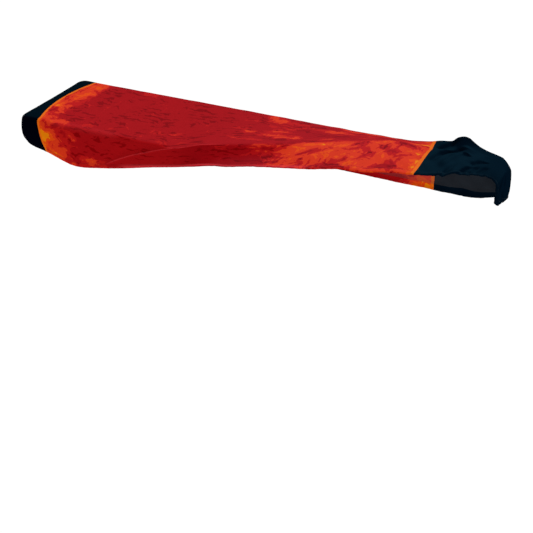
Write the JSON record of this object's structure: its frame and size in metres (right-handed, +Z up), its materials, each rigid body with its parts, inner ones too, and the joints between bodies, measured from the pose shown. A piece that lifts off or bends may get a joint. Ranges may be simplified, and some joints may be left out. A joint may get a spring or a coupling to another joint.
{
  "type": "piano keyboard cover",
  "caption": "Long boxed dust cover of stretch cloth for an electric piano, open below, with a gathered hem and its front lifted back over the keys at one end.",
  "frame": {"origin": "middle of the plane that the cover's top rests on, halfway along and halfway across the sewn top", "axes": "+X along the cover to the player's right, +Y away from the player, +Z up"},
  "size_m": [1.3508, 0.2842, 0.1556],
  "materials": {
    "printed_cloth": "smooth knitted stretch polyester with a soft low sheen, mottled reds and oranges between plain navy ends"
  },
  "bodies": {
    "root": {"cover": "printed_cloth"}
  },
  "joints": []
}
